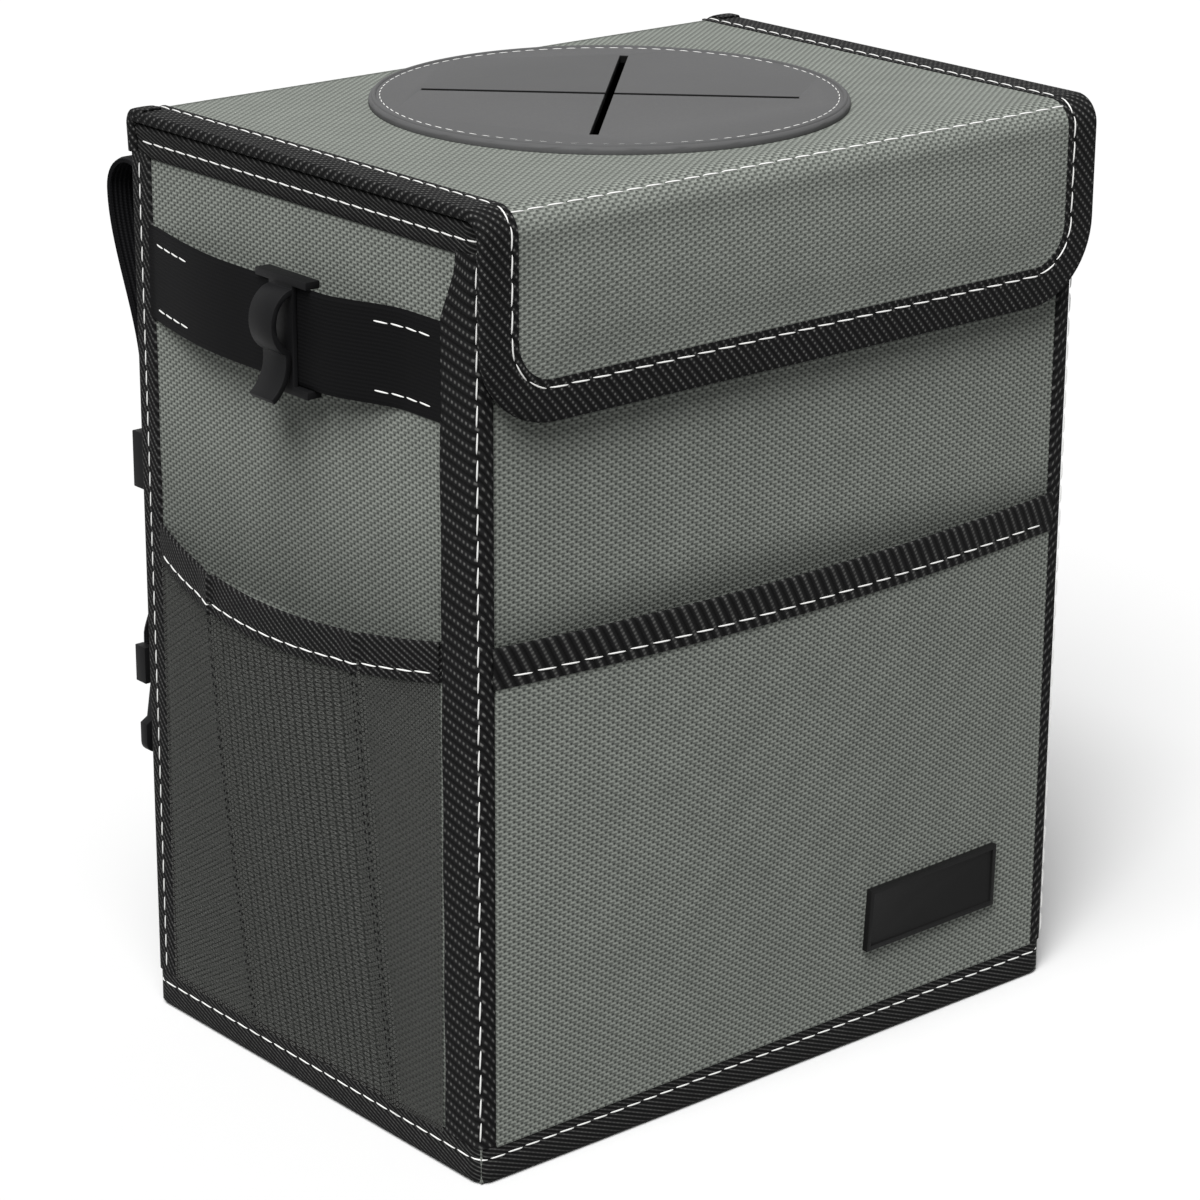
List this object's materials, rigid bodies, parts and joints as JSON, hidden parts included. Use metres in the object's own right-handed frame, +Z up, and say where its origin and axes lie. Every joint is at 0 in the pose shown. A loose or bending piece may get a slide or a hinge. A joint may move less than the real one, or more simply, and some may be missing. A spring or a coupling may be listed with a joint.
{
  "type": "car trash bin",
  "caption": "Stiffened fabric car trash bin with hinged lid, slit rubber cover, front flap, outer pockets, sliding side hooks and a headrest strap",
  "frame": {"origin": "middle of the box's footprint on the surface it stands on", "axes": "+X to the right seen from the front, -Y to the front, +Z up"},
  "size_m": [0.2696, 0.1924, 0.2925],
  "materials": {
    "cloth": "grey-green coated Oxford weave",
    "tape": "black twill binding tape",
    "board": "stiffening board, hidden",
    "liner": "leakproof coated lining",
    "fastener": "black touch fastener",
    "net": "dark grey-brown polyester net",
    "elastic": "black ribbed elastic",
    "webbing": "black webbing with lengthwise ribs",
    "hook_plastic": "moulded black plastic",
    "patch_rubber": "bare moulded rubber patch",
    "cover_rubber": "smooth grey rubber"
  },
  "bodies": {
    "bin": {"front_panel": "cloth", "back_panel": "cloth", "left_panel": "cloth", "right_panel": "cloth", "bottom_panel": "cloth", "front_board": "board", "back_board": "board", "left_board": "board", "right_board": "board", "bottom_board": "board", "inner_lining": "liner", "rim_binding": "tape", "bottom_binding": "tape", "corner_binding_front_left": "tape", "corner_binding_front_right": "tape", "corner_binding_rear_left": "tape", "corner_binding_rear_right": "tape", "front_pocket": "cloth", "front_pocket_binding": "tape", "left_mesh_pocket": "net", "right_mesh_pocket": "net", "left_mesh_binding": "tape", "right_mesh_binding": "tape", "left_elastic": "elastic", "right_elastic": "elastic", "badge_patch": "patch_rubber", "body_loop_strip": "fastener", "strap_left": "webbing", "strap_right": "webbing", "strap_anchor_left": "webbing", "strap_anchor_right": "webbing", "buckle_male": "hook_plastic", "buckle_female": "hook_plastic"},
    "lid": {"lid_panel": "cloth", "lid_board": "board", "lid_lining": "liner", "lid_binding_left": "tape", "lid_binding_right": "tape", "slit_cover": "cover_rubber"},
    "flap": {"flap_panel": "cloth", "flap_board": "board", "flap_lining": "liner", "flap_binding": "tape", "flap_hook_strip": "fastener"},
    "left_hook_body": {"left_hook": "hook_plastic"},
    "right_hook_body": {"right_hook": "hook_plastic"},
    "slider_body": {"strap_slider": "hook_plastic"}
  },
  "joints": [
    {"name": "lid_hinge", "type": "hinge", "parent": "bin", "child": "lid", "pos_m": [0, 0.08018, 0.28868], "axis": [-1, 0, 0], "range_deg": [0, 180]},
    {"name": "flap_hinge", "type": "hinge", "parent": "lid", "child": "flap", "pos_m": [0, -0.08575, 0.28815], "axis": [-1, 0, 0], "range_deg": [0, 180]},
    {"name": "left_hook_slide", "type": "slide", "parent": "bin", "child": "left_hook_body", "axis": [0, 1, 0], "range_m": [-0.008, 0.022]},
    {"name": "right_hook_slide", "type": "slide", "parent": "bin", "child": "right_hook_body", "axis": [0, 1, 0], "range_m": [-0.008, 0.022]},
    {"name": "strap_slider_slide", "type": "slide", "parent": "bin", "child": "slider_body", "axis": [0, 0, 1], "range_m": [-0.016, 0.012]}
  ]
}
